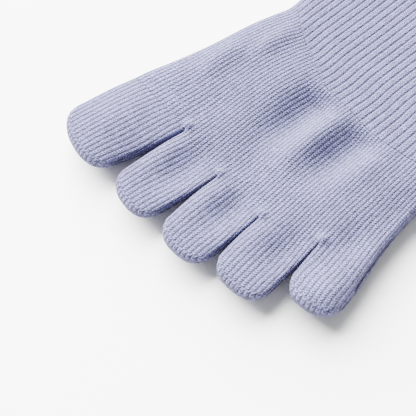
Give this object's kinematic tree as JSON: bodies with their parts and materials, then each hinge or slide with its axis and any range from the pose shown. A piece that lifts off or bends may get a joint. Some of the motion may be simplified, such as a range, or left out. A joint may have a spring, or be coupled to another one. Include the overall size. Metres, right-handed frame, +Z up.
{
  "type": "toe sock",
  "caption": "Knitted toe sock with a separate pocket for each toe, a wide-ribbed elastic arch band, a heel pouch and a ribbed cuff, lying flat on its sole.",
  "frame": {"origin": "middle of the sock's plan box, on the surface that it lies on", "axes": "+X across the foot from the big toe's side to the little toe's side, +Y along the sock from the toes to the cuff, +Z up"},
  "size_m": [0.107, 0.3276, 0.0222],
  "materials": {
    "toe_knit": "soft matt cotton rib knit",
    "plain_knit": "soft matt cotton rib knit",
    "band_knit": "matt elastic rib knit",
    "heel_knit": "matt plain-stitch knit",
    "cuff_knit": "matt two-by-two rib knit"
  },
  "bodies": {
    "root": {"toe_big": "toe_knit", "toe_second": "toe_knit", "toe_third": "toe_knit", "toe_fourth": "toe_knit", "toe_little": "toe_knit", "forefoot": "plain_knit", "arch_band": "band_knit", "ankle": "plain_knit", "heel": "heel_knit", "leg": "plain_knit", "cuff": "cuff_knit"}
  },
  "joints": []
}
